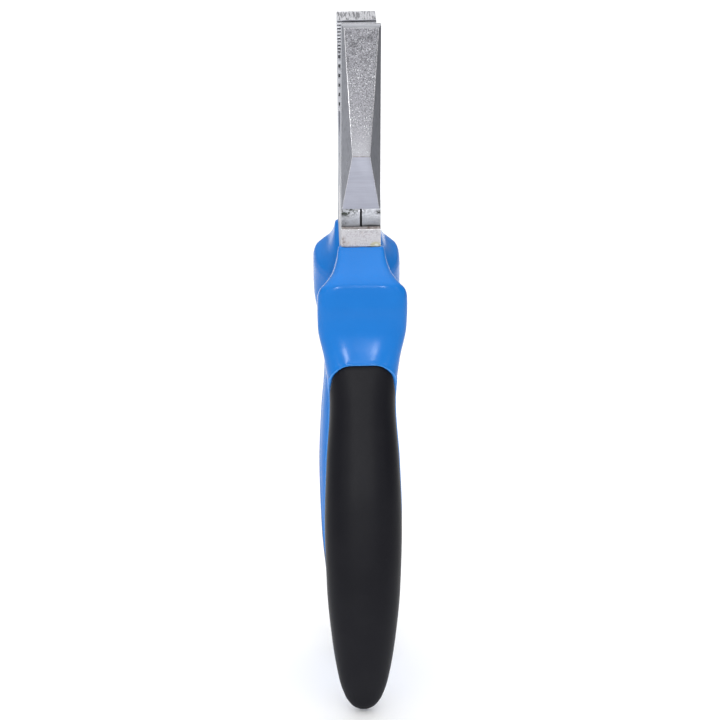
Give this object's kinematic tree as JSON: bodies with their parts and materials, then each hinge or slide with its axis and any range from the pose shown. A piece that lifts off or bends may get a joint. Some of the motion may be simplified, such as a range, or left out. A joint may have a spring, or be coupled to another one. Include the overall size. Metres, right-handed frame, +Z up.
{
  "type": "sprue nippers",
  "caption": "Hand nippers with slim square jaws, serrated gripping tips, a riveted lap joint, leaf springs and slender two-colour moulded grips.",
  "frame": {"origin": "on the pivot axis, in the flat left side of the joint, with the tool at rest", "axes": "+Z up to the jaw tips along the tool, +X along the pivot, -Y towards the front (the side shown in the picture)"},
  "size_m": [0.0188, 0.0486, 0.1482],
  "materials": {
    "jaw_steel": "blasted back strips, ground and satin polished bevels",
    "rivet_steel": "ground flush",
    "grip_plastic": "satin blue hard plastic",
    "grip_rubber": "fine matt black soft plastic",
    "spring_steel": "hardened strip"
  },
  "bodies": {
    "front_handle_half": {"rear_jaw_half": "jaw_steel", "pivot_rivet": "rivet_steel", "front_grip_shell": "grip_plastic", "front_grip_overlay": "grip_rubber", "front_leaf_spring": "spring_steel", "front_spring_rivet": "rivet_steel"},
    "rear_handle_half": {"front_jaw_half": "jaw_steel", "rear_grip_shell": "grip_plastic", "rear_grip_overlay": "grip_rubber", "rear_leaf_spring": "spring_steel", "rear_spring_rivet": "rivet_steel"}
  },
  "joints": [
    {"name": "jaw_pivot", "type": "hinge", "parent": "front_handle_half", "child": "rear_handle_half", "pos_m": [0, 0, 0], "axis": [1, 0, 0], "range_deg": [-4.2, 21], "stiffness_Nm_per_rad": 2, "deforming": ["front_leaf_spring", "rear_leaf_spring"]}
  ]
}
